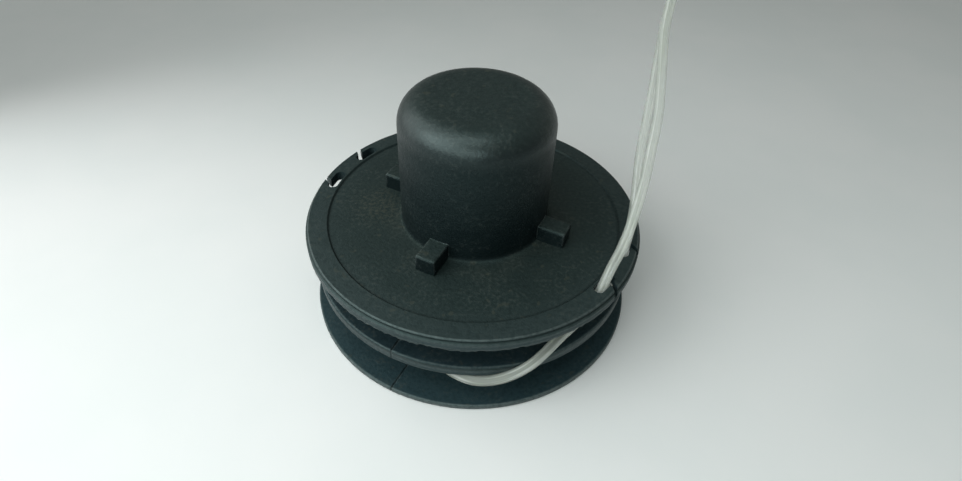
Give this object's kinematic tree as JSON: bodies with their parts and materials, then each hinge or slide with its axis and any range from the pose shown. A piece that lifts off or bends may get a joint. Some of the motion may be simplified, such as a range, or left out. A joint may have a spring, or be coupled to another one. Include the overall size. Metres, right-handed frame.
{
  "type": "trimmer line spool",
  "caption": "Moulded trimmer spool with a tall hollow bump knob, index lugs, two line grooves and hooked slots in its rim, each groove wound with clear line whose free end rises through a slot.",
  "frame": {"origin": "on the spool's axis in the plane of the base flange's underside", "axes": "+Z along the spool's axis towards the top of the knob, -Y towards the picture's camera, +X to its right"},
  "size_m": [0.0916, 0.0856, 0.0713],
  "materials": {
    "spool_plastic": "fine moulded grain, rubbed edges",
    "line_nylon": "clear glossy monofilament"
  },
  "bodies": {
    "root": {"spool": "spool_plastic", "line_winding_lower": "line_nylon", "line_winding_upper": "line_nylon", "line_strand_a": "line_nylon", "line_strand_b": "line_nylon"}
  },
  "joints": []
}
